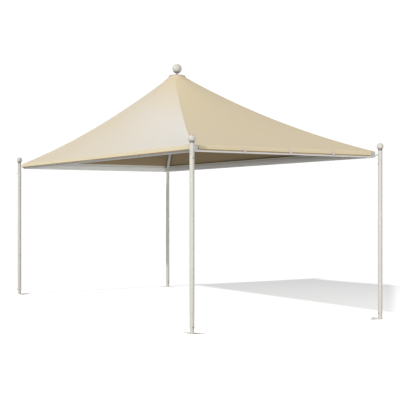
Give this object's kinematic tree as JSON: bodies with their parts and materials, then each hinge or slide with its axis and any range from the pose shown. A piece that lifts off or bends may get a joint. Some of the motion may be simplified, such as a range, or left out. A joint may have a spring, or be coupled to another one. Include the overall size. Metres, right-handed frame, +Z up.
{
  "type": "peaked gazebo tent",
  "caption": "Rectangular garden pavilion with round posts, a steel eave frame, hip rafters and a peaked fabric canopy with ball finials.",
  "frame": {"origin": "on the ground at the middle of the plan, level with the undersides of the base plates", "axes": "+X along the long sides towards the right end, +Y from the front long side to the back one, +Z up"},
  "size_m": [6.1934, 3.0934, 3.8015],
  "materials": {
    "post_paint": "cream powder coat, satin",
    "ball_paint": "off-white paint, satin",
    "frame_paint": "light grey powder coat, satin",
    "canopy_fabric": "sand coated polyester, matt",
    "hook_metal": "zinc plated"
  },
  "bodies": {
    "root": {"foot_front_left": "post_paint", "foot_front_right": "post_paint", "foot_back_right": "post_paint", "foot_back_left": "post_paint", "post_front_left": "post_paint", "post_front_right": "post_paint", "post_back_right": "post_paint", "post_back_left": "post_paint", "corner_fitting_front_left": "post_paint", "corner_fitting_front_right": "post_paint", "corner_fitting_back_right": "post_paint", "corner_fitting_back_left": "post_paint", "ball_finial_front_left": "ball_paint", "ball_finial_front_right": "ball_paint", "ball_finial_back_right": "ball_paint", "ball_finial_back_left": "ball_paint", "beam_front": "frame_paint", "beam_back": "frame_paint", "beam_left": "frame_paint", "beam_right": "frame_paint", "hip_rafter_front_left": "frame_paint", "hip_rafter_front_right": "frame_paint", "hip_rafter_back_right": "frame_paint", "hip_rafter_back_left": "frame_paint", "crown_hub": "frame_paint", "crown_cap": "canopy_fabric", "apex_finial": "ball_paint", "canopy_front": "canopy_fabric", "canopy_right": "canopy_fabric", "canopy_back": "canopy_fabric", "canopy_left": "canopy_fabric", "hem_hook_front_1": "hook_metal", "hem_hook_front_2": "hook_metal", "hem_hook_front_3": "hook_metal", "hem_hook_right_1": "hook_metal", "hem_hook_right_2": "hook_metal", "hem_hook_right_3": "hook_metal", "hem_hook_back_1": "hook_metal", "hem_hook_back_2": "hook_metal", "hem_hook_back_3": "hook_metal", "hem_hook_left_1": "hook_metal", "hem_hook_left_2": "hook_metal", "hem_hook_left_3": "hook_metal"}
  },
  "joints": []
}
